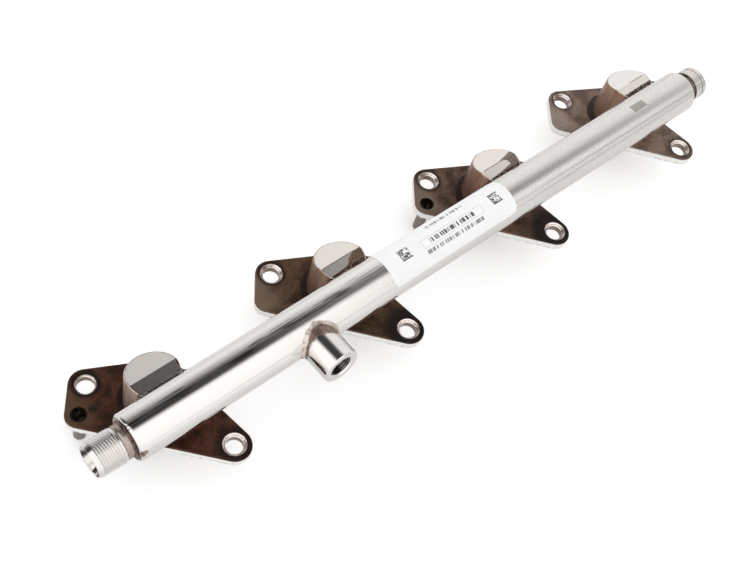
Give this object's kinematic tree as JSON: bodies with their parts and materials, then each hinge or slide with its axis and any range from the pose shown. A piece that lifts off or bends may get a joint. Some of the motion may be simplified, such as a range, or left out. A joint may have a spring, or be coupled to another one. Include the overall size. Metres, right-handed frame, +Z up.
{
  "type": "fuel rail",
  "caption": "High-pressure fuel rail: a thick steel tube with a threaded inlet, a closed end and a sensor boss, brazed to forged injector holders with bolt plates.",
  "frame": {"origin": "the first injector's axis at the mounting face, at the inlet end of the rail", "axes": "+X along the rail from the inlet to the closed end, +Y from the tube towards the injectors, +Z up, away from the cylinder head"},
  "size_m": [0.3268, 0.0657, 0.0553],
  "materials": {
    "tube_steel": "satin drawn stainless steel",
    "turned_steel": "turned steel",
    "forged_steel": "forged steel with brown furnace tint",
    "dowel_steel": "ground steel",
    "braze": "dark copper braze",
    "label_film": "matte white film"
  },
  "bodies": {
    "root": {"rail_tube": "tube_steel", "inlet_fitting": "turned_steel", "end_fitting": "turned_steel", "sensor_boss": "turned_steel", "injector_holder_1": "forged_steel", "injector_holder_2": "forged_steel", "injector_holder_3": "forged_steel", "injector_holder_4": "forged_steel", "locating_dowel_1": "dowel_steel", "locating_dowel_3": "dowel_steel", "braze_inlet": "braze", "braze_end": "braze", "braze_boss": "braze", "braze_holder_1": "braze", "braze_holder_2": "braze", "braze_holder_3": "braze", "braze_holder_4": "braze", "rail_label": "label_film"}
  },
  "joints": []
}
